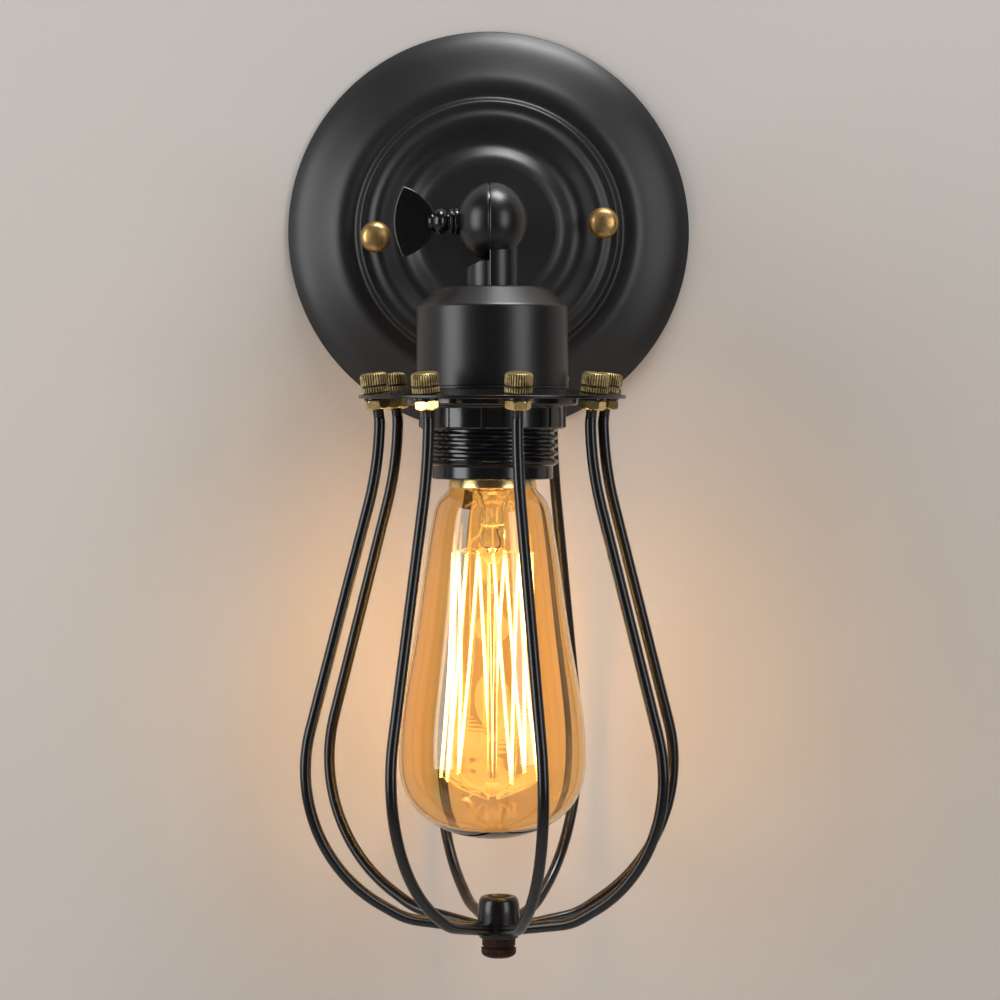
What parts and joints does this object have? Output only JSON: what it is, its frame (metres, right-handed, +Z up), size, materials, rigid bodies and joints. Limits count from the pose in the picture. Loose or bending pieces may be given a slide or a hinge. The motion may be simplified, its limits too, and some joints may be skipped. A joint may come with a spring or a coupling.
{
  "type": "cage wall light",
  "caption": "Wall light: round canopy, ball knuckle with wing screw, socket cup, screw-cap bottle lamp and a bent wire cage closed by a hub.",
  "frame": {"origin": "middle of the mounting bracket's back face, on the wall plane", "axes": "+Z up along the wall, +X to the viewer's right, +Y into the wall, so the lamp stands out towards -Y"},
  "size_m": [0.132, 0.1234, 0.2941],
  "materials": {
    "black_paint": "satin black enamel on steel and zinc",
    "antique_brass": "aged knurled brass",
    "bright_brass": "bright brass",
    "zinc_steel": "zinc plated steel",
    "black_bakelite": "moulded black phenolic plastic",
    "white_ceramic": "glazed ceramic",
    "amber_glass": "amber tinted lamp glass",
    "clear_glass": "clear lead glass",
    "glowing_wire": "glowing filament wire",
    "black_glass": "dark insulating glass",
    "white_plastic": "white polyamide",
    "brown_sleeve": "brown silicone insulation",
    "blue_sleeve": "blue silicone insulation",
    "solder": "tin solder"
  },
  "bodies": {
    "wall": {"canopy": "black_paint", "mounting_bracket": "zinc_steel", "canopy_screws": "zinc_steel", "stud_nuts": "zinc_steel", "cap_nuts": "antique_brass", "arm_nipple": "zinc_steel", "arm_sleeve": "black_paint", "arm_tooth_washer": "zinc_steel", "earth_lug": "zinc_steel", "earth_screw": "bright_brass", "arm_lock_nut": "zinc_steel", "knuckle_arm_half": "black_paint", "friction_washer": "black_bakelite", "terminal_block": "white_plastic", "block_tubes": "bright_brass", "block_screws": "zinc_steel", "block_fixing_screw": "zinc_steel", "live_lead": "brown_sleeve", "neutral_lead": "blue_sleeve"},
    "clamp": {"wing_screw": "black_paint"},
    "head": {"knuckle_stem_half": "black_paint", "lamp_nipple": "zinc_steel", "socket_cup": "black_paint", "cup_lock_nut": "zinc_steel", "lampholder_cap": "black_bakelite", "lampholder_skirt": "black_bakelite", "lampholder_insert": "white_ceramic", "screw_shell": "bright_brass", "centre_contact": "bright_brass", "holder_terminal_screws": "bright_brass", "retaining_ring": "black_bakelite", "cage_plate": "black_paint", "wire_washers": "black_paint", "wire_nuts": "bright_brass", "knurled_nuts": "antique_brass", "hub": "black_paint", "hub_screw": "antique_brass", "cage_wire_1": "black_paint", "cage_wire_2": "black_paint", "cage_wire_3": "black_paint", "cage_wire_4": "black_paint", "cage_wire_5": "black_paint", "cage_wire_6": "black_paint", "cage_wire_7": "black_paint", "cage_wire_8": "black_paint"},
    "lamp_foot": {"bulb_contact": "solder"},
    "lamp": {"bulb_insulator": "black_glass", "bulb_cap": "bright_brass", "bulb_glass": "amber_glass", "glass_mount": "clear_glass", "filament": "glowing_wire", "upper_supports": "zinc_steel", "lower_supports": "zinc_steel", "filament_leads": "zinc_steel"}
  },
  "joints": [
    {"name": "head_tilt", "type": "hinge", "parent": "wall", "child": "head", "pos_m": [0, -0.064, 0], "axis": [-1, 0, 0], "range_deg": [0, 180], "deforming": ["live_lead", "neutral_lead"]},
    {"name": "clamp_turn", "type": "hinge", "parent": "wall", "child": "clamp", "pos_m": [-0.02, -0.064, 0], "axis": [-1, 0, 0], "range_deg": [0, 270]},
    {"name": "lamp_draw", "type": "slide", "parent": "head", "child": "lamp_foot", "axis": [0, 0, -1], "range_m": [0, 0.00906]},
    {"name": "lamp_turn", "type": "hinge", "parent": "lamp_foot", "child": "lamp", "pos_m": [0, -0.064, -0.07], "axis": [0, 0, -1], "range_deg": [0, 900]}
  ],
  "couplings": [
    {"joint": "lamp_draw", "follows": "lamp_turn", "m_per_rad": 0.00057614}
  ]
}
